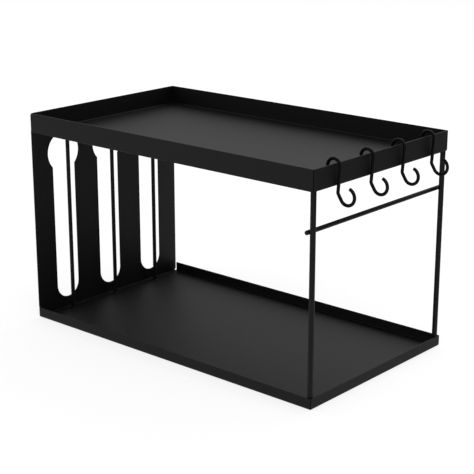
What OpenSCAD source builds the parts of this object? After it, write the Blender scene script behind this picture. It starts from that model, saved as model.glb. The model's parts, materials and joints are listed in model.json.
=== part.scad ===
// Coffee capsule stand of folded sheet steel and welded round rod.
// A side panel with keyhole slots holds the capsules by their flanges, guide rods behind
// the slots keep them in, and an upper and a lower tray carry cups and jars.
// S-hooks hang on the right rim of the upper tray.
// The origin is the centre of the resting face. +X runs along the long side, away from
// the side panel, +Y runs to the back and +Z is up.

/* [Stand] */
// Length over the lower tray
stand_length = 350; // [300:1:450]
// Depth over both trays
stand_depth = 200; // [190:1:260]
// Height from the resting face to the top of the upper rim
stand_height = 210.5; // [190:0.5:280]
// Thickness of the sheet steel
sheet = 1; // [0.8:0.1:2]
// Inner radius of every fold
fold_r = 0.8; // [0.6:0.1:2]

/* [Trays] */
// Height of the upper tray, over its rims
top_rim_h = 19.5; // [14:0.5:30]
// How much shorter the upper tray is than the lower one, at its right end
top_short = 1; // [0:0.1:4]
// Height of the lower tray, over its rims
base_rim_h = 10.5; // [8:0.5:20]
// Width of the weld seam's groove down each outer corner
seam_w = 0.6; // [0.3:0.1:0.8]
// Depth of that groove, from the corner's edge towards the inside
seam_depth = 0.8; // [0.4:0.1:1]
// Radius on the upper tray's free corner above the side panel's front edge
corner_round = 3; // [1:0.5:5]
// Gap between the side panel and the left end of the lower tray's back rim
relief_gap = 1.9; // [1:0.1:4]
// Radius of the relief at the side panel's lower back corner
relief_r = 1.2; // [0.5:0.1:2]

/* [Capsule slots] */
// Width of a slot, a little over a capsule's body
slot_w = 29; // [28:0.5:32]
// Diameter of a slot's round head, a little over a capsule's flange
slot_head_d = 40.5; // [39:0.5:44]
// Distance from one slot to the next
slot_pitch = 60; // [50:0.5:64]
// Distance from the lower tray's floor up to the bottom of a slot
slot_foot_margin = 11.4; // [6:0.1:30]
// Distance from the top of a slot's head up to the upper tray
slot_head_margin = 4.8; // [3:0.1:20]

/* [Rods] */
// Diameter of the corner posts
post_d = 5; // [4:0.1:8]
// Diameter of the guide rods
guide_d = 4; // [3:0.1:5]
// Clear space between the side panel and a guide rod, for the capsule's flange
guide_gap = 4.5; // [3.5:0.1:8]
// Diameter of the cross bar
bar_d = 4; // [3:0.1:6]
// Height of the cross bar's axis above the resting face
bar_height = 156; // [90:0.5:160]
// Distance from the trays' front and back faces to the cross bar's ends
bar_end_inset = 0; // [0:0.1:3]
// Radius on the rims of the cross bar's ends
bar_end_r = 1; // [0.2:0.1:1.4]

/* [Hooks] */
// Diameter of the hook wire
hook_d = 3; // [1.8:0.1:3.5]
// Radius of the upper loop, at the wire's centre
hook_loop_r = 6.4; // [5.5:0.1:8]
// Angle that the upper loop turns through
hook_loop_sweep = 220; // [180:1:250]
// Lean of the leg from upright, where it follows the rim down
hook_lean = 4.5; // [1:0.5:8]
// Distance from the rim's lower edge down to the start of the lower bend
hook_leg_below = 5; // [2:0.1:15]
// Radius of the small bend, at the wire's centre
hook_kink_r = 3; // [2:0.1:5]
// Straight length between the small bend and the lower curl
hook_throat = 5.6; // [1:0.1:12]
// Radius of the lower curl, at the wire's centre
hook_curl_r = 7.3; // [5:0.1:12]
// Angle that the lower curl turns through
hook_curl_sweep = 222; // [150:1:240]
// Running clearance between a hook and the rim
hook_clear = 0.3; // [0.2:0.05:1]
// Distance from the tray's front face to the first hook
hook_front_margin = 31.5; // [20:0.5:45]
// Distance from the tray's back face to the last hook
hook_back_margin = 28; // [20:0.5:45]

/* [Hidden] */
$fn = 64;
// Overrun of every cut past the face that it opens
cut = 0.5;
// Space between the front rim of the lower tray and the notch in the side panel
panel_gap = 0.3;
hook_count = 4;
// Angle of the small bend in a hook, between its leg and its throat
hook_kink = atan2(3, 4);

fold_outer_r = sheet + fold_r;
left_x = -stand_length / 2;
right_x = stand_length / 2;
front_y = -stand_depth / 2;
back_y = stand_depth / 2;
top_length = stand_length - top_short;
top_right_x = right_x - top_short;
top_tray_z = stand_height - top_rim_h;
slot_foot_z = sheet + slot_foot_margin + slot_w / 2;
slot_head_z = top_tray_z - slot_head_margin - slot_head_d / 2;
guide_x = left_x + sheet + guide_gap + guide_d / 2;
post_inset = sheet + post_d / 2;
post_x = right_x - post_inset;
bar_x = post_x - post_d / 2 - bar_d / 2;
hook_pitch = (stand_depth - hook_front_margin - hook_back_margin) / (hook_count - 1);

// Section across a folded pan: a box whose two lower corners are rounded
module fold_section(span, height, radius) {
    translate([-span / 2, radius]) square([span, height - radius]);
    translate([radius - span / 2, 0]) square([span - 2 * radius, height]);
    for (side = [-1, 1])
        translate([side * (span / 2 - radius), radius]) circle(radius);
}

// Solid block with the outline of a folded pan, rounded along its four lower edges
module pan_block(length, depth, height, radius) {
    intersection() {
        rotate([90, 0, 90]) linear_extrude(length, center = true)
            fold_section(depth, height, radius);
        rotate([90, 0, 0]) linear_extrude(depth, center = true)
            fold_section(length, height, radius);
    }
}

// Groove down one outer corner, cut on the diagonal
module seam_groove(height) {
    rotate(45) translate([-seam_depth, -seam_w / 2, -cut])
        cube([seam_depth + cut, seam_w, height + 2 * cut]);
}

// Tray of one folded sheet, standing on z = 0, with its corners welded
module folded_tray(length, height) {
    difference() {
        pan_block(length, stand_depth, height, fold_outer_r);
        translate([0, 0, sheet])
            pan_block(length - 2 * sheet, stand_depth - 2 * sheet, height, fold_r);
        for (turn_x = [0, 1], turn_y = [0, 1])
            mirror([turn_x, 0, 0]) mirror([0, turn_y, 0])
                translate([length / 2, back_y, 0]) seam_groove(height);
    }
}

// Cutter that rounds the free upper corner of a tray, on both rims that meet there.
// The corner is at the origin, and the rims lie on the side of +X, +Y and -Z.
module corner_cutter() {
    side = corner_round + cut;
    difference() {
        translate([-cut, -cut, -corner_round]) cube(side);
        translate([corner_round, 0, -corner_round]) rotate([90, 0, 0])
            cylinder(h = 4 * side, r = corner_round, center = true);
        translate([0, corner_round, -corner_round]) rotate([0, 90, 0])
            cylinder(h = 4 * side, r = corner_round, center = true);
    }
}

module bottom_tray() {
    color("#26272a") difference() {
        folded_tray(stand_length, base_rim_h);
        // The left edge stops just above its fold, where the side panel stands on it
        translate([left_x - cut, front_y + sheet, fold_outer_r])
            cube([sheet + fold_r + cut, stand_depth, base_rim_h]);
        // The back rim starts clear of the side panel, and the fold's corner is relieved
        translate([left_x - cut, back_y - fold_outer_r, sheet])
            cube([sheet + relief_gap + cut, fold_outer_r + cut, base_rim_h]);
    }
}

module top_tray() {
    color("#26272a") difference() {
        translate([left_x + top_length / 2, 0, top_tray_z])
            folded_tray(top_length, top_rim_h);
        translate([left_x, front_y, stand_height]) corner_cutter();
    }
}

// Outline of one slot, with x along the panel and y up it
module keyhole() {
    translate([0, slot_head_z]) circle(d = slot_head_d);
    translate([-slot_w / 2, slot_foot_z]) square([slot_w, slot_head_z - slot_foot_z]);
    translate([0, slot_foot_z]) circle(d = slot_w);
}

module side_panel() {
    color("#222326") difference() {
        translate([left_x, front_y, fold_outer_r])
            cube([sheet, stand_depth, top_tray_z]);
        // The upper edge is cut to the upper tray's folds, where it is welded
        translate([left_x + top_length / 2, 0, top_tray_z])
            pan_block(top_length, stand_depth, top_rim_h, fold_outer_r);
        for (i = [-1:1])
            translate([left_x + sheet / 2, i * slot_pitch, 0]) rotate([90, 0, 90])
                linear_extrude(sheet + 2 * cut, center = true) keyhole();
        // Notch for the lower tray's front rim
        translate([left_x - cut, front_y - cut, 0])
            cube([sheet + 2 * cut, sheet + panel_gap + cut, base_rim_h + panel_gap]);
        // Relief of the lower back corner
        translate([left_x + sheet / 2, back_y, fold_outer_r]) rotate([0, 90, 0])
            cylinder(h = sheet + 2 * cut, r = relief_r, center = true);
    }
}

module guide_rod(i) {
    color("#1d1e20") translate([guide_x, i * slot_pitch, sheet])
        cylinder(h = top_tray_z - sheet, d = guide_d);
}

module guide_rod_front() { guide_rod(-1); }
module guide_rod_middle() { guide_rod(0); }
module guide_rod_back() { guide_rod(1); }

// Post in a corner of the lower tray. Its foot is chamfered to clear the tray's folds.
module corner_post(y) {
    color("#1d1e20") translate([post_x, y, sheet]) {
        cylinder(h = fold_r, r1 = post_d / 2 - fold_r, r2 = post_d / 2);
        translate([0, 0, fold_r]) cylinder(h = top_tray_z - sheet - fold_r, d = post_d);
    }
}

module front_post() { corner_post(front_y + post_inset); }
module back_post() { corner_post(back_y - post_inset); }

// Half section of the cross bar, with x out from its axis and y along it
module bar_section(length) {
    square([bar_d / 2 - bar_end_r, length]);
    translate([0, bar_end_r]) square([bar_d / 2, length - 2 * bar_end_r]);
    for (y = [bar_end_r, length - bar_end_r])
        translate([bar_d / 2 - bar_end_r, y]) intersection() {
            circle(bar_end_r);
            translate([0, -bar_end_r]) square([bar_end_r, 2 * bar_end_r]);
        }
}

module cross_bar() {
    color("#1d1e20") translate([bar_x, front_y + bar_end_inset, bar_height])
        rotate([-90, 0, 0]) rotate_extrude() bar_section(stand_depth - 2 * bar_end_inset);
}

// A hook lies in one upright plane, and leg_top is where its upper loop runs into its leg:
// outwards and upwards from the upper outer edge of the rim.
// The loop's centre lies where the wire clears both the rim's upper edge and the lowest
// flat part of its outer face by the same amount.
wire_reach = hook_d / 2 + hook_clear;
loop_out = wire_reach - hook_loop_r + sin(hook_lean) * (top_rim_h - fold_outer_r);
loop_down = sqrt(pow(hook_loop_r - wire_reach, 2) - pow(loop_out, 2));
leg_top = (loop_out + hook_loop_r) * [cos(hook_lean), -sin(hook_lean)]
    - loop_down * [sin(hook_lean), cos(hook_lean)];
leg_length = (top_rim_h + hook_leg_below + leg_top[1]) / cos(hook_lean);

// Straight wire from the origin along +Y
module straight(length) {
    rotate([-90, 0, 0]) cylinder(h = length, d = hook_d);
}

// Bent wire that leaves the origin along +Y and turns left
module bend(radius, sweep) {
    translate([-radius, 0, 0]) rotate_extrude(angle = sweep)
        translate([radius, 0]) circle(d = hook_d);
}

// The small bend, cut off where the throat starts, with the children laid on from there
module kink() {
    reach = hook_kink_r + hook_d;
    translate([-hook_kink_r, 0, 0]) {
        intersection() {
            rotate_extrude(angle = 90) translate([hook_kink_r, 0]) circle(d = hook_d);
            rotate(hook_kink) translate([0, -reach, -reach]) cube([reach, reach, 2 * reach]);
        }
        rotate(hook_kink) translate([hook_kink_r, 0, 0]) children();
    }
}

module hook(i) {
    color("#1a1b1d")
        translate([top_right_x, front_y + hook_front_margin + i * hook_pitch, stand_height])
            rotate([90, 0, 0]) translate([leg_top[0], leg_top[1], 0]) rotate(-hook_lean) {
                bend(hook_loop_r, hook_loop_sweep);
                rotate(180) {
                    straight(leg_length);
                    translate([0, leg_length, 0]) kink() {
                        straight(hook_throat);
                        translate([0, hook_throat, 0]) bend(hook_curl_r, hook_curl_sweep);
                    }
                }
            }
}

module hook_1() { hook(0); }
module hook_2() { hook(1); }
module hook_3() { hook(2); }
module hook_4() { hook(3); }

bottom_tray();
side_panel();
top_tray();
guide_rod_front();
guide_rod_middle();
guide_rod_back();
front_post();
back_post();
cross_bar();
hook_1();
hook_2();
hook_3();
hook_4();
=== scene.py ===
# %% [markdown]
# A stand for coffee capsules, made of folded steel sheet and welded round rod, with a
# fine black powder coat. Two shallow trays are held apart by a slotted side panel on the
# left and by two thin posts on the right, and four S-hooks hang on the upper tray's rim.
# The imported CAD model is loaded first. It is the frame that everything here is fitted to:
# each piece of this script stands in the same place as one CAD piece, with the small
# shapes that a CAD solid leaves out, such as broken edges, weld beads and rounded tips.

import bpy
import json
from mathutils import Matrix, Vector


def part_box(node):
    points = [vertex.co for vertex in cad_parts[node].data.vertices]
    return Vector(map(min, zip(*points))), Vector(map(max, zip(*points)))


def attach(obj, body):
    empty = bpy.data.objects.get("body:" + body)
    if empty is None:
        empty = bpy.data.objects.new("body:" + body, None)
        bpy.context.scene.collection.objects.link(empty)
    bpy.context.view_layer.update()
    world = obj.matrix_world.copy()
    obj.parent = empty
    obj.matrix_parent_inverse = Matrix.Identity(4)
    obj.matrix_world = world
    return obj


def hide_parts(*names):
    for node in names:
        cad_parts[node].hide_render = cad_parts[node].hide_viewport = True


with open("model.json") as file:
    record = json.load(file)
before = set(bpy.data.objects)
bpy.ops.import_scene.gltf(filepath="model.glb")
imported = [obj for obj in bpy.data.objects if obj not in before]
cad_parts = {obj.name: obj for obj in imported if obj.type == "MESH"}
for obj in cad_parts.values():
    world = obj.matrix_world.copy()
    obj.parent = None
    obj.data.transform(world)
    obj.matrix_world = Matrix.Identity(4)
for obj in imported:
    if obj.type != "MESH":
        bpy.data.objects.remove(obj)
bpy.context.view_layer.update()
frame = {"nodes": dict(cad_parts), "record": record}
print("CAD nodes:", ", ".join(sorted(frame["nodes"])))

# %% [markdown]
# Lengths are written in millimetres, as on a workshop drawing, and Blender works in
# metres, so one small function turns one into the other. The frame's own boxes give the
# sizes of the stand, so that nothing is typed twice: a tray's box says how long, deep and
# high it is, and where it sits.

# %% Lengths and the sizes of the stand
import json
import math
import bmesh
import bpy
from mathutils import Matrix, Vector

MM = 0.001


def mm(*values):
    """Millimetres to metres: one number, or a vector of several."""
    return values[0] * MM if len(values) == 1 else Vector(values) * MM


SHEET = mm(1.0)            # thickness of the steel sheet
FOLD_INSIDE = mm(0.8)      # radius on the inside of every fold
FOLD_OUTSIDE = SHEET + FOLD_INSIDE
lower_low, lower_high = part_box("bottom_tray")
upper_low, upper_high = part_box("top_tray")
panel_low, panel_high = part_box("side_panel")
print("lower tray", [round(v / MM, 2) for v in lower_high - lower_low], "mm")
print("upper tray", [round(v / MM, 2) for v in upper_high - upper_low], "mm")

# %% [markdown]
# Every new piece is shaped with Blender's own operators, as it would be by hand. An
# operator acts on whatever is selected, and loading the frame leaves the CAD pieces
# selected. So the script lets go of everything before each step, and holds one piece at a
# time. A new primitive gets a name, and its place goes into its mesh, so that every
# finished object sits at the origin, as the CAD pieces do.

# %% Let go, hold and name
def let_go():
    """Object mode, with nothing selected."""
    if bpy.context.mode != "OBJECT":
        bpy.ops.object.mode_set(mode="OBJECT")
    bpy.ops.object.select_all(action="DESELECT")


def hold(piece):
    """Makes one piece the only selected and active one."""
    let_go()
    piece.select_set(True)
    bpy.context.view_layer.objects.active = piece


def new_piece(name):
    """Names the primitive that was just added, and puts its place into its mesh."""
    piece = bpy.context.object
    piece.name = piece.data.name = name
    bpy.ops.object.transform_apply(location=True, rotation=True, scale=True)
    return piece


print("selected after loading:", len(bpy.context.selected_objects), "pieces")
let_go()
print("selected after letting go:", len(bpy.context.selected_objects))

# %% [markdown]
# In edit mode the edges or faces to work on are picked by where they lie. By hand they
# would be clicked on, but a rule such as "every edge on this plane" can be read, and it
# still holds when a size changes.

# %% Pick by place
X, Y, Z = 0, 1, 2
PICK_WITHIN = mm(0.01)     # two places nearer than this count as the same


def pick(piece, kind, wanted):
    """Edit mode, with only those edges or faces selected for which wanted(...) is true."""
    hold(piece)
    bpy.ops.object.mode_set(mode="EDIT")
    bpy.ops.mesh.select_mode(type=kind)
    bpy.ops.mesh.select_all(action="DESELECT")
    mesh = bmesh.from_edit_mesh(piece.data)
    parts = mesh.edges if kind == "EDGE" else mesh.faces
    found = [part for part in parts if wanted(part)]
    for part in found:
        part.select_set(True)
    bmesh.update_edit_mesh(piece.data)
    return len(found)


def near(a, b, within=PICK_WITHIN):
    """Whether two numbers are as good as the same."""
    return abs(a - b) < within


def edge_on(axis, value):
    """A test that an edge lies in the plane where that axis has that value."""
    return lambda edge: all(near(v.co[axis], value) for v in edge.verts)


print("edges and faces are picked to within", round(PICK_WITHIN / MM, 3), "mm")

# %% [markdown]
# A tray is one steel sheet whose four sides are folded up. It could be drawn flat and
# folded, but the quickest clean mesh is a block with the outer size of the tray: its four
# lower edges are bevelled to the outer radius of the fold, its top is inset by the
# thickness of the sheet and pushed down to the floor, and the inner edges are bevelled to
# the inner radius. The two radii differ by the sheet's thickness, so the wall has the same
# thickness round the fold, as bent metal has.

# %% Fold a tray
FOLD_STEPS = 6             # facets round one fold
LOOKS_UP = 0.9             # least upward share of a level face's normal


def block(low, high, name="cutter"):
    """A block from its lowest corner to its highest."""
    let_go()
    bpy.ops.mesh.primitive_cube_add(size=1, location=(low + high) / 2, scale=high - low)
    return new_piece(name)


def bevel(offset, steps):
    """Bevels the picked edges."""
    bpy.ops.mesh.bevel(offset=offset, segments=steps, affect="EDGES", clamp_overlap=False)


def folded_tray(name, low, high):
    tray = block(low, high, name)
    pick(tray, "EDGE", edge_on(Z, low.z))
    bevel(FOLD_OUTSIDE, FOLD_STEPS)
    pick(tray, "FACE", lambda face: face.normal.z > LOOKS_UP)
    bpy.ops.mesh.inset(thickness=SHEET)
    bpy.ops.mesh.extrude_region_move(
        TRANSFORM_OT_translate={"value": (0, 0, low.z + SHEET - high.z)})
    pick(tray, "EDGE", edge_on(Z, low.z + SHEET))
    bevel(FOLD_INSIDE, FOLD_STEPS)
    let_go()
    print(name, "has", len(tray.data.polygons), "faces after folding")
    return tray


upper_tray = folded_tray("upper_tray_sheet", upper_low, upper_high)
lower_tray = folded_tray("lower_tray_sheet", lower_low, lower_high)

# %% [markdown]
# Some shapes are cut out of the sheet before it is folded. A Boolean modifier does the
# same as the cutting laser here: a second mesh, the cutter, marks what goes away. On the
# lower tray the left side stops just above its fold, because the side panel stands on it
# there, and the back rim starts a little clear of the panel.

# %% Cut the lower tray
CUT = mm(0.5)              # how far a cutter reaches past the face that it opens
BACK_RIM_START = mm(2.9)   # from the tray's left end


def combine(piece, other, operation="DIFFERENCE"):
    """Cuts the other mesh from a piece, or adds it, and throws the other one away."""
    hold(piece)
    step = piece.modifiers.new(operation.lower(), "BOOLEAN")
    step.operation, step.solver, step.object = operation, "EXACT", other
    bpy.ops.object.modifier_apply(modifier=step.name)
    bpy.data.objects.remove(other)


combine(lower_tray, block(
    Vector((lower_low.x - CUT, lower_low.y + SHEET, lower_low.z + FOLD_OUTSIDE)),
    Vector((lower_low.x + FOLD_OUTSIDE, lower_high.y + CUT, lower_high.z + CUT))))
combine(lower_tray, block(
    Vector((lower_low.x - CUT, lower_high.y - FOLD_OUTSIDE, lower_low.z + SHEET)),
    Vector((lower_low.x + BACK_RIM_START, lower_high.y + CUT, lower_high.z + CUT))))
print("lower tray cut, now", len(lower_tray.data.polygons), "faces")

# %% [markdown]
# On the upper tray the corner over the panel's front edge is rounded, on both rims that
# meet there. The cutter is a small block at that corner. Two cylinders hollow it out
# first, one along each rim, so that what is left of it takes the corner off round.

# %% Round the upper tray's corner
CORNER_ROUND = mm(3.0)
ROUND_SIDES = 64           # sides of a full circle
QUARTER_TURN = math.radians(90)
ALONG_X, ALONG_Y = (0, QUARTER_TURN, 0), (QUARTER_TURN, 0, 0)


def cylinder(name, radius, length, middle, turn, sides=ROUND_SIDES):
    """A cylinder that lies along X or Y, to cut or add something round."""
    let_go()
    bpy.ops.mesh.primitive_cylinder_add(vertices=sides, radius=radius, depth=length,
                                        location=middle, rotation=turn)
    return new_piece(name)


corner = Vector((upper_low.x, upper_low.y, upper_high.z - CORNER_ROUND))
side = CORNER_ROUND + CUT
start = corner - Vector((CUT, CUT, 0))
rounding = block(start, start + Vector((side, side, side)))
for offset, turn in (((CORNER_ROUND, 0, 0), ALONG_Y), ((0, CORNER_ROUND, 0), ALONG_X)):
    middle = corner + Vector(offset)
    combine(rounding, cylinder("round", CORNER_ROUND, 4 * side, middle, turn))
combine(upper_tray, rounding)
print("upper tray cut, now", len(upper_tray.data.polygons), "faces")

# %% [markdown]
# Where two rims meet at a corner they are welded from inside, and the outside shows a fine
# dark seam that runs down the corner and fades out round the fold. A bevel with a hollow
# profile could draw it, but it would be as wide as it is deep, and light would fill it. A
# thin block turned by 45 degrees cuts a groove that is deeper than wide, which stays dark.
# Its faces get a material slot of their own, with a darker, duller coat that is painted
# shade for the inside of the gap, where light hardly reaches.

# %% Seams down the corners
SEAM_WIDTH, SEAM_DEPTH = mm(0.6), mm(0.8)
SHEET_SLOT, SEAM_SLOT = 0, 1
SLANT_WITHIN = 0.01        # how upright, and how near 45 degrees, a seam's face stands


def corner_seams(tray, low, high):
    length = SEAM_DEPTH + CUT
    for x, y, degrees in ((low.x, low.y, 45), (high.x, low.y, 135),
                          (high.x, high.y, 225), (low.x, high.y, 315)):
        turn = math.radians(degrees)
        inwards = Vector((math.cos(turn), math.sin(turn), 0))
        corner = Vector((x, y, (low.z + high.z) / 2))
        let_go()
        bpy.ops.mesh.primitive_cube_add(
            size=1, location=corner + inwards * (SEAM_DEPTH - length / 2),
            rotation=(0, 0, turn), scale=(length, SEAM_WIDTH, high.z - low.z + 2 * CUT))
        combine(tray, new_piece("seam"))

    def in_a_seam(face):
        middle, normal = face.calc_center_median(), face.normal
        dx = min(abs(middle.x - low.x), abs(middle.x - high.x))
        dy = min(abs(middle.y - low.y), abs(middle.y - high.y))
        return (max(dx, dy) < SHEET and abs(normal.z) < SLANT_WITHIN
                and near(abs(normal.x), abs(normal.y), SLANT_WITHIN))

    for slot in (SHEET_SLOT, SEAM_SLOT):
        tray.data.materials.append(None)
    found = pick(tray, "FACE", in_a_seam)
    tray.active_material_index = SEAM_SLOT
    bpy.ops.object.material_slot_assign()
    let_go()
    print(tray.name, "has its seams, in", found, "of", len(tray.data.polygons), "faces")


corner_seams(upper_tray, upper_low, upper_high)
corner_seams(lower_tray, lower_low, lower_high)

# %% [markdown]
# The side panel is the same sheet, cut flat. It has three keyhole slots: a capsule's rim
# goes in at the round head and slides down behind the panel, and its body sticks out
# through the narrow part. The cutter for one slot is a block whose two lower edges are
# bevelled by half its width, which makes the round foot, joined to a cylinder for the
# head. It is made once and copied for each slot.

# %% The slotted side panel
SLOT_WIDTH, SLOT_HEAD, SLOT_PITCH = mm(29.0), mm(40.5), mm(60.0)
SLOT_FOOT, SLOT_HEAD_HEIGHT = mm(12.4), mm(165.95)
FOOT_FLAT = mm(0.01)       # half of what stays flat between the foot's two bevels
THROUGH = SHEET + 3 * CUT  # a cutter's length through the panel


def moved_copy(piece, name, step):
    """A copy with a mesh of its own, moved by a step inside that mesh."""
    copy = piece.copy()
    copy.data = piece.data.copy()
    copy.name = copy.data.name = name
    bpy.context.collection.objects.link(copy)
    copy.data.transform(Matrix.Translation(step))
    return copy


def at_the_foot(edge):
    """The slot's two lower edges that run through the panel's thickness."""
    return edge_on(Z, SLOT_FOOT)(edge) and near(edge.verts[0].co.y, edge.verts[1].co.y)


panel = block(panel_low, panel_high, "slotted_side_panel")
panel_middle = (panel_low.x + panel_high.x) / 2
slot = block(Vector((panel_low.x - CUT, -SLOT_WIDTH / 2, SLOT_FOOT)),
             Vector((panel_high.x + CUT, SLOT_WIDTH / 2, SLOT_HEAD_HEIGHT)), "slot")
pick(slot, "EDGE", at_the_foot)
bevel(SLOT_WIDTH / 2 - FOOT_FLAT, ROUND_SIDES // 2)
head_middle = (panel_middle, 0, SLOT_HEAD_HEIGHT)
combine(slot, cylinder("head", SLOT_HEAD / 2, THROUGH, head_middle, ALONG_X), "UNION")
for place in (-1, 0, 1):
    combine(panel, moved_copy(slot, "cutter", (0, place * SLOT_PITCH, 0)))
bpy.data.objects.remove(slot)
print("panel with its slots:", len(panel.data.polygons), "faces")

# %% [markdown]
# Two more cuts fit the panel to the trays. Its foot has a notch for the lower tray's front
# rim and a small round relief at the back. Its upper edge is welded to the upper tray's
# fold and follows it. A copy of the upper tray would leave the exact shape, but a slanting
# edge that ends at the same two heights lies hidden in the weld and is far simpler.

# %% Fit the panel to the trays
NOTCH_GAP, RELIEF = mm(0.3), mm(1.2)
# How high the fold's outside has risen where it passes the panel's inner face.
FOLD_RISE = FOLD_OUTSIDE - math.sqrt(FOLD_OUTSIDE ** 2 - (FOLD_OUTSIDE - SHEET) ** 2)

combine(panel, block(
    Vector((panel_low.x - CUT, panel_low.y - CUT, 0)),
    Vector((panel_high.x + CUT, panel_low.y + SHEET + NOTCH_GAP,
            lower_high.z + NOTCH_GAP))))
back_foot = (panel_middle, panel_high.y, panel_low.z)
combine(panel, cylinder("relief", RELIEF, THROUGH, back_foot, ALONG_X,
                        sides=ROUND_SIDES // 2))
inner_top = upper_low.z + FOLD_RISE
pick(panel, "EDGE", lambda edge: edge_on(Z, panel_high.z)(edge)
     and edge_on(X, panel_high.x)(edge))
bpy.ops.transform.translate(value=(0, 0, inner_top - panel_high.z))
let_go()
print("panel top leans from", round(panel_high.z / MM, 2), "to",
      round(inner_top / MM, 2), "mm")

# %% [markdown]
# A sheared or lasered edge is never quite sharp, and the powder coat rounds it further. A
# bevel of 0.15 mm on the edges that show is enough to catch a fine line of light. The
# edges are picked by place: a rim's upper edges, and every edge where the panel's flat
# faces end, apart from those that are welded to the trays.

# %% Break the sharp edges
SOFTENED, SOFT_STEPS = mm(0.15), 2
SHARP_TURN = math.radians(40)      # an edge that turns by more is sharp
FACES_UP = 0.02                    # least upward share of the normal of a rim's top


def sharp(edge):
    return len(edge.link_faces) == 2 and edge.calc_face_angle() > SHARP_TURN


def lowest(edge):
    return min(v.co.z for v in edge.verts)


def rim_edge_on(high):
    """A test for edges between a rim's top, rounded corner and all, and its sides."""
    def wanted(edge):
        if not sharp(edge) or lowest(edge) < high.z - CORNER_ROUND:
            return False
        if any(face.material_index == SEAM_SLOT for face in edge.link_faces):
            return False
        return sum(face.normal.z > FACES_UP for face in edge.link_faces) == 1
    return wanted


def free_panel_edge(edge):
    """The panel's edges that show: not its foot or its top, where it is welded on."""
    flat = edge_on(X, panel_low.x)(edge) or edge_on(X, panel_high.x)(edge)
    welded = edge_on(Z, panel_low.z)(edge) or lowest(edge) > upper_low.z
    return flat and not welded and sharp(edge)


for piece, wanted in ((upper_tray, rim_edge_on(upper_high)),
                      (lower_tray, rim_edge_on(lower_high)), (panel, free_panel_edge)):
    found = pick(piece, "EDGE", wanted)
    bevel(SOFTENED, SOFT_STEPS)
    let_go()
    print(piece.name, "has", found, "softened edges")

# %% [markdown]
# Smooth shading hides the small facets of a fold or a rod, but on its own it also bends
# the light on the flat faces beside them. Edges that turn by more than 35 degrees are
# therefore marked sharp, and the Weighted Normal modifier lets the largest face at each
# corner decide, so that flat sheet looks flat up to its softened edge.

# %% Smooth the folds and keep the flats
SMOOTH_TURN = math.radians(35)
MERGE_WITHIN = mm(0.01)    # corners nearer than this become one


def smooth(piece):
    """Merges what a Boolean left double, and shades the piece."""
    hold(piece)
    bpy.ops.object.mode_set(mode="EDIT")
    bpy.ops.mesh.select_all(action="SELECT")
    bpy.ops.mesh.remove_doubles(threshold=MERGE_WITHIN)
    bpy.ops.mesh.dissolve_degenerate(threshold=MERGE_WITHIN)
    hold(piece)
    bpy.ops.object.shade_smooth_by_angle(angle=SMOOTH_TURN)
    step = piece.modifiers.new("flat faces stay flat", "WEIGHTED_NORMAL")
    step.keep_sharp = True
    bpy.ops.object.modifier_apply(modifier=step.name)
    let_go()


for piece in (upper_tray, lower_tray, panel):
    smooth(piece)
    print(piece.name, "smoothed, with", len(piece.data.vertices), "corners")

# %% [markdown]
# The rods are round bar, cut to length. A rod starts as a circle and is drawn on ring by
# ring: each ring is extruded by a step and then made wider or narrower. A list of rings,
# as distance along the rod and radius, is all that a rod needs, so the same few functions
# make the guide rods, the posts and the cross bar, and later the straight parts and the
# tips of the hooks' wire.

# %% Draw a rod from rings
ROD_SIDES = 40
UP, BACK = Vector((0, 0, 1)), Vector((0, 1, 0))


def start_wire(name, centre, heading, radius, sides):
    """A filled circle that faces along heading, in edit mode and selected."""
    let_go()
    turn = UP.rotation_difference(heading).to_euler()
    bpy.ops.mesh.primitive_circle_add(vertices=sides, radius=radius, fill_type="NGON",
                                      location=centre, rotation=turn)
    wire = new_piece(name)
    hold(wire)
    bpy.ops.object.mode_set(mode="EDIT")
    bpy.ops.mesh.select_all(action="SELECT")
    return wire


def draw_on(centre, heading, rings):
    """Draws the selected end through the rings from the first one. Returns its place."""
    for (along, radius), (next_along, next_radius) in zip(rings, rings[1:]):
        step = heading * (next_along - along)
        bpy.ops.mesh.extrude_region_move(TRANSFORM_OT_translate={"value": step})
        centre = centre + step
        share = next_radius / radius
        bpy.ops.transform.resize(value=(share, share, share), center_override=centre)
    return centre


def close_wire(wire):
    """Turns all faces outwards and leaves edit mode."""
    bpy.ops.mesh.select_all(action="SELECT")
    bpy.ops.mesh.normals_make_consistent(inside=False)
    let_go()
    return wire


def drawn_rod(name, start, heading, rings):
    """A whole rod, from the ring at its start to the last one."""
    wire = start_wire(name, start, heading, rings[0][1], ROD_SIDES)
    draw_on(start, heading, rings)
    return close_wire(wire)


print("a rod is drawn from rings of", ROD_SIDES, "sides")

# %% [markdown]
# The guide rods and the posts are welded to the sheet at both ends. A small bead of weld,
# smoothed over by the coating, flares out there. It is a few more rings, close together
# and ever narrower. A post's upper end lies under the tray's fold, which has risen a
# little there, so the post is that much longer and its bead is thin.

# %% The guide rods and the posts
BEAD = [(0.0, 1.0), (0.1, 0.71), (0.25, 0.46), (0.45, 0.26), (0.7, 0.1), (1.0, 0.0)]
BEAD_SIZE = mm(0.75)       # a bead's height and width, which the shares above are of
POST_HEAD, INTO_THE_FOLD = mm(0.12), mm(0.4)
rods = {}
for node in ("guide_rod_front", "guide_rod_middle", "guide_rod_back",
             "front_post", "back_post"):
    low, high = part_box(node)
    middle, radius = (low + high) / 2, (high.x - low.x) / 2
    in_a_corner = node.endswith("post")
    length = high.z - low.z + (INTO_THE_FOLD if in_a_corner else 0)
    head = POST_HEAD if in_a_corner else BEAD_SIZE
    rings = [(BEAD_SIZE * h, radius + BEAD_SIZE * w) for h, w in BEAD]
    rings += [(length - head * h, radius + head * w) for h, w in reversed(BEAD)]
    start = Vector((middle.x, middle.y, low.z))
    rods[node] = drawn_rod(node + "_welded", start, UP, rings)
    smooth(rods[node])
    print(rods[node].name, "radius", round(radius / MM, 2), "mm, length",
          round(length / MM, 1), "mm")

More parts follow.
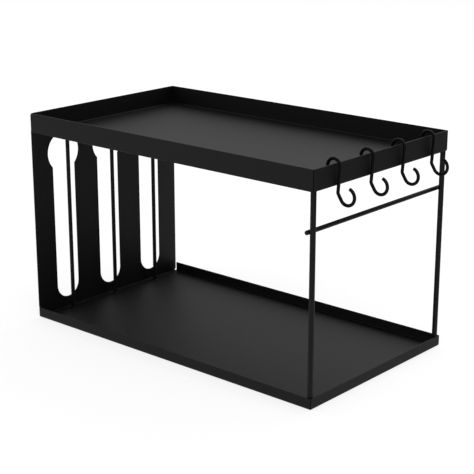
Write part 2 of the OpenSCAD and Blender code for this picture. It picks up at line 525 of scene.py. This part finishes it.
# %% [markdown]
# The cross bar lies behind both posts, seen from outside, and is spot-welded where it
# touches them. Its ends are rounded over and stick out a little past the posts. The weld
# is a flattened bead in the narrow space between the two round bars. It starts as a ball
# of triangles, is pressed flat along X, and is joined to the bar with a Boolean.

# %% The cross bar
BAR_END = mm(1.0)                  # radius to which its ends are rounded
END_TURNS = [math.radians(a) for a in (0, 20, 40, 60, 75, 90)]
WELD_SIZE = mm(0.55, 1.5, 1.5)     # from the middle of a weld, along X, Y and Z

low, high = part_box("cross_bar")
middle, radius, length = (low + high) / 2, (high.x - low.x) / 2, high.y - low.y
rings = [(BAR_END * (1 - math.cos(a)), radius - BAR_END * (1 - math.sin(a)))
         for a in END_TURNS]
rings += [(length - h, r) for h, r in reversed(rings)]
cross_bar = drawn_rod("cross_bar_welded", Vector((middle.x, low.y, middle.z)), BACK, rings)
for node in ("front_post", "back_post"):
    post_low, post_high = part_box(node)
    let_go()
    bpy.ops.mesh.primitive_ico_sphere_add(
        subdivisions=4, radius=1, scale=WELD_SIZE,
        location=(high.x, (post_low.y + post_high.y) / 2, middle.z))
    combine(cross_bar, new_piece("weld"), "UNION")
smooth(cross_bar)
print("cross bar radius", round(radius / MM, 2), "mm, length", round(length / MM, 1), "mm")

# %% [markdown]
# A hook is one piece of wire, bent in one plane: an open loop that hangs over the rim, a
# leg that leans along the rim's outer face, a small bend and a short throat, and an open
# curl for a cup's handle. Its bends are sizes of its own, and where it hangs follows from
# the rim: the loop clears the rim's upper edge, and the leg clears the face at its foot.

# %% Where a hook hangs
LOOP, KINK, CURL = mm(6.4), mm(3.0), mm(7.3)       # bend radii at the wire's centre
LOOP_SWEEP, CURL_SWEEP = 220, 222                  # degrees
KINK_SWEEP = math.degrees(math.atan2(3, 4))        # as in a triangle of 3, 4 and 5
LEAN, LEG_BELOW, THROAT = math.radians(4.5), mm(5.0), mm(5.6)
CLEAR = mm(0.3)            # between the wire and the rim

hook_low, hook_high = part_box("hook_1")
wire_radius = (hook_high.y - hook_low.y) / 2
reach = wire_radius + CLEAR                                # from the rim to its centre
beside = Vector((math.cos(LEAN), 0, -math.sin(LEAN)))      # square to the leg, outwards
above = Vector((math.sin(LEAN), 0, math.cos(LEAN)))        # up along the leg
# From the rim's upper edge to the loop's centre: so far beside it, and so far below.
face_height = upper_high.z - upper_low.z - FOLD_OUTSIDE
out = reach - LOOP + math.sin(LEAN) * face_height
down = math.sqrt((LOOP - reach) ** 2 - out ** 2)
rim_edge = Vector((upper_high.x, (hook_low.y + hook_high.y) / 2, upper_high.z))
leg_top = rim_edge + beside * (out + LOOP) - above * down
leg_length = (leg_top.z - upper_low.z + LEG_BELOW) / math.cos(LEAN)
print("leg of", round(leg_length / MM, 2), "mm, wire of",
      round(2 * wire_radius / MM, 2), "mm")

# %% [markdown]
# The wire is made as it is bent. A circle is drawn on along the straight parts and spun
# round the centre of each bend, and each function hands on where the end is and which way
# it heads. The Spin operator turns the other way round its axis than a rotation matrix
# does, which is why the two axes below have opposite signs. Both tips are rounded over by
# a few narrower rings.

# %% Bend a hook
WIRE_SIDES, STEPS_PER_TURN, FEWEST_STEPS = 24, 44, 4
TIP = [(0.0, 0.5), (0.1, 0.74), (0.24, 0.91), (0.42, 0.98), (0.6, 1.0)]
TIP_LENGTH = mm(TIP[-1][0])        # a tip's rings are in mm and in shares of the radius
SAME_RING = mm(0.005)              # the first ring of a bend lies on the ring before it


def spin_round(place, heading, radius, degrees):
    """Spins the selected end round a bend. Positive degrees turn it up from +X to +Z."""
    side = 1 if degrees > 0 else -1
    centre = place + side * radius * Vector((-heading.z, 0, heading.x))
    steps = max(FEWEST_STEPS, round(abs(degrees) / 360 * STEPS_PER_TURN))
    angle = math.radians(abs(degrees))
    bpy.ops.mesh.spin(steps=steps, angle=angle, center=centre, axis=(0, side, 0))
    turn = Matrix.Rotation(angle, 4, Vector((0, -side, 0)))
    return centre + turn @ (place - centre), turn @ heading


def bent_hook(name):
    tip_turn = math.radians(LOOP_SWEEP) - TIP_LENGTH / LOOP
    across, along_leg = math.cos(tip_turn), math.sin(tip_turn)
    place = leg_top - beside * LOOP + LOOP * (across * beside + along_leg * above)
    heading = along_leg * beside - across * above
    tip = [(mm(along), wire_radius * share) for along, share in TIP]
    tip_start = place - heading * TIP_LENGTH
    wire = start_wire(name, tip_start, heading, tip[0][1], WIRE_SIDES)
    draw_on(tip_start, heading, tip)
    place, heading = spin_round(place, heading, LOOP, -math.degrees(tip_turn))
    place = draw_on(place, heading, [(0, wire_radius), (leg_length, wire_radius)])
    place, heading = spin_round(place, heading, KINK, KINK_SWEEP)
    place = draw_on(place, heading, [(0, wire_radius), (THROAT, wire_radius)])
    curl_turn = CURL_SWEEP - math.degrees(TIP_LENGTH / CURL)
    place, heading = spin_round(place, heading, CURL, curl_turn)
    draw_on(place, heading, [(TIP_LENGTH - along, r) for along, r in reversed(tip)])
    bpy.ops.mesh.select_all(action="SELECT")
    bpy.ops.mesh.remove_doubles(threshold=SAME_RING)
    return close_wire(wire)


hooks = {"hook_1": bent_hook("s_hook_1")}
smooth(hooks["hook_1"])
print(hooks["hook_1"].name, "has", len(hooks["hook_1"].data.polygons), "faces")

# %% [markdown]
# The other three hooks are copies of the first one, moved along the rim to where their CAD
# nodes are. A last look at how far each one's reach differs from its node's shows whether
# the bends above are right.

# %% Copy the hook along the rim
for node in ("hook_2", "hook_3", "hook_4"):
    low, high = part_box(node)
    step = (0, low.y - hook_low.y, 0)
    hooks[node] = moved_copy(hooks["hook_1"], f"s_{node}", step)
for node, hook in hooks.items():
    low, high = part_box(node)
    points = [v.co for v in hook.data.vertices]
    off = [max(p[i] for p in points) - high[i] for i in (X, Y, Z)]
    off += [min(p[i] for p in points) - low[i] for i in (X, Y, Z)]
    most = max(abs(d) for d in off)
    print(hook.name, "is within", round(most / MM, 3), "mm of its CAD box")

# %% [markdown]
# Each new piece now takes the place of its CAD piece, which is hidden but stays in the
# scene. The pieces of the welded stand ride on one body, and each hook rides on its own,
# because the real hooks slide along the rim.

# %% Put the pieces on their bodies
pieces = {"top_tray": upper_tray, "bottom_tray": lower_tray, "side_panel": panel,
          "cross_bar": cross_bar, **rods, **hooks}
SLOTS = {row["node"]: row["material_slot"] for row in frame["record"]["subparts"]}
for node, piece in pieces.items():
    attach(piece, node if node in hooks else "stand")
    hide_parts(node)
print(len(pieces), "pieces stand for", len(frame["nodes"]), "CAD nodes")

# %% [markdown]
# A material is a small tree of nodes. One helper adds a node, with its settings, and fills
# its inputs with either a value or another node's output. Some nodes have several inputs
# of one name, so _6 stands for input number 6. Colours are written as the sRGB values that
# an image program shows, and turned to the linear ones that light adds up in.

# %% Helpers for materials
def linear(hex_colour):
    """'#rrggbb' as shown on a screen, to linear red, green, blue and alpha."""
    parts = [int(hex_colour[i:i + 2], 16) / 255 for i in (1, 3, 5)]
    return [c / 12.92 if c <= 0.04045 else ((c + 0.055) / 1.055) ** 2.4
            for c in parts] + [1]


def bare_tree(owner):
    """The node tree of a material or a world, with nothing in it."""
    owner.use_nodes = True
    owner.node_tree.nodes.clear()
    return owner.node_tree


def add(tree, kind, settings=None, **inputs):
    """Adds a node. An input is a value, or the output socket that feeds it."""
    made = tree.nodes.new(kind)
    for name, value in (settings or {}).items():
        setattr(made, name, value)
    for name, value in inputs.items():
        key = int(name[1:]) if name[1:].isdigit() else name.replace("_", " ")
        if isinstance(value, bpy.types.NodeSocket):
            tree.links.new(value, made.inputs[key])
        else:
            made.inputs[key].default_value = value
    return made


print("#808080 is", round(linear("#808080")[0], 4), "in linear light")

# %% [markdown]
# The finish is a black polyester powder coat, sprayed on dry and baked. It flows into an
# even skin about 0.07 mm thick that is satin rather than glossy, because fine grains in it
# roughen the surface. Two sizes of unevenness tell the eye what it is. The grains are
# about 0.3 mm across. They are drawn twice as coarse, since a pixel of the picture covers
# 0.9 mm and anything finer is averaged away. Under them lies a faint orange peel, slow
# waves some 4 mm wide, from the powder's flow. Both are noise on the piece's own
# coordinates, given to a Bump node, and the grains also change the roughness a little.

# %% How a powder coat is made
GRAIN, PEEL = mm(0.6), mm(4.0)
GRAIN_RANGE = (0.3, 0.7)           # nearly all of the noise lies between these
ROUGHNESS_SPREAD = 0.04            # up and down, from grain to grain


def powder_coat(name, dark, pale, roughness, level, grain_depth, peel_depth):
    material = bpy.data.materials.new(name)
    tree = bare_tree(material)
    place = add(tree, "ShaderNodeTexCoord").outputs["Object"]
    grain = add(tree, "ShaderNodeTexNoise", Vector=place, Scale=1 / GRAIN, Detail=2.0,
                Roughness=0.55).outputs[0]
    peel = add(tree, "ShaderNodeTexNoise", Vector=place, Scale=1 / PEEL, Detail=1.0,
               Roughness=0.4).outputs[0]
    colour = add(tree, "ShaderNodeMix", {"data_type": "RGBA"}, Factor=grain,
                 _6=linear(dark), _7=linear(pale)).outputs[2]
    rough = add(tree, "ShaderNodeMapRange", Value=grain, From_Min=GRAIN_RANGE[0],
                From_Max=GRAIN_RANGE[1], To_Min=roughness - ROUGHNESS_SPREAD,
                To_Max=roughness + ROUGHNESS_SPREAD).outputs[0]
    waves = add(tree, "ShaderNodeBump", Height=peel, Distance=peel_depth, Strength=1.0)
    grains = add(tree, "ShaderNodeBump", Height=grain, Distance=grain_depth,
                 Strength=1.0, Normal=waves.outputs[0])
    coat = add(tree, "ShaderNodeBsdfPrincipled", Base_Color=colour, Roughness=rough,
               Specular_IOR_Level=level, Normal=grains.outputs[0])
    add(tree, "ShaderNodeOutputMaterial", Surface=coat.outputs[0])
    print(name, "made with", len(tree.nodes), "nodes")
    return material


print("grains are drawn", round(GRAIN / MM, 2), "mm across, and waves",
      round(PEEL / MM, 2), "mm")

# %% [markdown]
# Polyester has an IOR near 1.5, which is the shader's own. Its grains trap a good part of
# what a flat skin would mirror, though, which a bump alone can't show, so the specular
# level is lowered, most of all on the hooks' thin wire, whose coat is also the smoothest.
# In the seams' narrow gaps the coat is painted darker and duller, as painted shade for the
# gap that light hardly reaches.

# %% Powder coat on sheet, rod and wire
sheet_coat = powder_coat(
    "fine_textured_powder_coat_on_sheet", dark="#050505", pale="#080808",
    roughness=0.55, level=0.15, grain_depth=mm(0.02), peel_depth=mm(0.03))
rod_coat = powder_coat(
    "satin_powder_coat_on_rod", dark="#050505", pale="#080808",
    roughness=0.5, level=0.15, grain_depth=mm(0.012), peel_depth=mm(0.01))
wire_coat = powder_coat(
    "smooth_powder_coat_on_wire", dark="#040404", pale="#070707",
    roughness=0.45, level=0.07, grain_depth=mm(0.008), peel_depth=mm(0.005))
# Painted shade: the seams' faces get a darker, duller coat, for the gap that light hardly
# reaches.
seam_painted_shade_coat = powder_coat(
    "painted_shade_coat_in_an_open_seam", dark="#020202", pale="#030303",
    roughness=0.9, level=0.02, grain_depth=mm(0.02), peel_depth=mm(0.03))
coats = {"sheet_black": sheet_coat, "rod_black": rod_coat, "hook_black": wire_coat}
for node, piece in pieces.items():
    if piece in (upper_tray, lower_tray):
        piece.data.materials[SHEET_SLOT] = sheet_coat
        piece.data.materials[SEAM_SLOT] = seam_painted_shade_coat
    else:
        piece.data.materials.append(coats[SLOTS[node]])

# %% [markdown]
# The picture shows the stand on pure white, as in a shop's catalogue. The floor is a wide
# pale sheet. To the camera it is mostly its own white light, with a little real shading
# mixed in, so that it stays white and still keeps the stand's shadow. Reflections see the
# same white.

# %% Floor
FLOOR_WIDTH, FLOOR_DROP = 8, mm(0.05)      # in metres, just below the stand's underside
OWN_WHITE = 0.75                           # the share that is the floor's own light

let_go()
bpy.ops.mesh.primitive_plane_add(size=FLOOR_WIDTH, location=(0, 0, -FLOOR_DROP))
floor = new_piece("floor")
paper = bpy.data.materials.new("white_paper_sweep")
tree = bare_tree(paper)
rays = add(tree, "ShaderNodeLightPath").outputs
seen = rays["Is Camera Ray"]
for ray in ("Is Glossy Ray", "Is Transmission Ray"):
    seen = add(tree, "ShaderNodeMath", {"operation": "MAXIMUM"}, _0=seen,
               _1=rays[ray]).outputs[0]
shaded = add(tree, "ShaderNodeBsdfDiffuse", Color=linear("#fcfcfc")).outputs[0]
white = add(tree, "ShaderNodeEmission", Color=(1, 1, 1, 1), Strength=1.0).outputs[0]
both = add(tree, "ShaderNodeMixShader", _0=OWN_WHITE, _1=shaded, _2=white).outputs[0]
picked = add(tree, "ShaderNodeMixShader", _0=seen, _1=shaded, _2=both).outputs[0]
add(tree, "ShaderNodeOutputMaterial", Surface=picked)
floor.data.materials.append(paper)
print("floor is", floor.dimensions.x, "m wide")

# %% [markdown]
# A black object is lit by what it mirrors, more than by lamps, so the room matters most. A
# world of plain white, at a strength of 1, is the white tent that such things are
# photographed in: it lights the stand softly from all sides, and it is the background.
# Two large softboxes are added. The one behind the stand shines down at 45 degrees, so a
# tray's floor is bright right up to its back fold while the rims that face the camera stay
# dark. The one on the camera's side gives those rims and the rods a little light of their
# own. Both stay weak, so that a colour still renders about as it is written.

# %% Light
LIT_POINT = Vector((0, 0, 0.1))            # the middle of the stand, in metres

world = bpy.data.worlds.new("white_tent")
bpy.context.scene.world = world
tree = bare_tree(world)
tent = add(tree, "ShaderNodeBackground", Color=(1, 1, 1, 1), Strength=1.0)
add(tree, "ShaderNodeOutputWorld", Surface=tent.outputs[0])


def softbox(name, place, size, watts):
    """A square lamp that shines at the stand. Its place and size are in metres."""
    let_go()
    bpy.ops.object.light_add(type="AREA", location=place)
    lamp = bpy.context.object
    lamp.name = name
    lamp.data.shape, lamp.data.size, lamp.data.energy = "SQUARE", size, watts
    direction = LIT_POINT - Vector(place)
    lamp.rotation_euler = direction.to_track_quat("-Z", "Y").to_euler()


softbox("back_softbox", place=(0, 1.13, 1.23), size=1.1, watts=7.0)
softbox("camera_side_softbox", place=(0.84, -0.84, 1.17), size=1.0, watts=3.5)

# %% [markdown]
# In an all-white tent both sides of a corner would be equally bright. Photographers place
# a dark card, a flag, where one side mirrors it, and that side turns darker. This one
# stands on the floor to the right of the stand and out of the picture. The camera can't
# see it, and it casts no shadow and takes no soft light away, so it shows only as a
# reflection.

# %% A dark flag for the right-hand rims
FLAG_SIZE = 1.0                            # metres
FLAG_X, FLAG_Y = 0.72, 0.22
FLAG_TURN = math.radians(-45)              # roughly facing the stand

let_go()
bpy.ops.mesh.primitive_plane_add(size=FLAG_SIZE, rotation=(QUARTER_TURN, 0, FLAG_TURN),
                                 location=(FLAG_X, FLAG_Y, FLAG_SIZE / 2))
flag = new_piece("grey_flag")
card = bpy.data.materials.new("grey_card")
tree = bare_tree(card)
grey = add(tree, "ShaderNodeBsdfDiffuse", Color=linear("#626262"))
add(tree, "ShaderNodeOutputMaterial", Surface=grey.outputs[0])
flag.data.materials.append(card)
flag.visible_camera = flag.visible_shadow = flag.visible_diffuse = False
print("flag is", [round(size, 2) for size in flag.dimensions], "m")

# %% [markdown]
# The camera stands where the photograph was taken from, about 41 degrees round to the
# right and 17 degrees up, with a long lens. Its place and turn were worked out from the
# stand's corners and edges in the picture.

# %% Camera
CAMERA_PLACE = mm(793.702, -904.137, 460.534)
CAMERA_TILT = math.radians(73.1785)        # up from looking straight down
CAMERA_ROLL = math.radians(0.0073)         # next to none
CAMERA_TURN = math.radians(41.1011)        # round to the right, from the front
SENSOR, LENS = 36, 98.598                  # millimetres, as cameras are described
FARTHEST = 20                              # metres

camera = bpy.data.objects.new("camera", bpy.data.cameras.new("camera"))
bpy.context.collection.objects.link(camera)
camera.location = CAMERA_PLACE
camera.rotation_euler = (CAMERA_TILT, CAMERA_ROLL, CAMERA_TURN)
camera.data.sensor_width, camera.data.lens = SENSOR, LENS
camera.data.clip_end = FARTHEST
bpy.context.scene.camera = camera
bpy.context.scene.view_settings.view_transform = "Standard"
print("camera", round(camera.location.length, 3), "m from the origin")
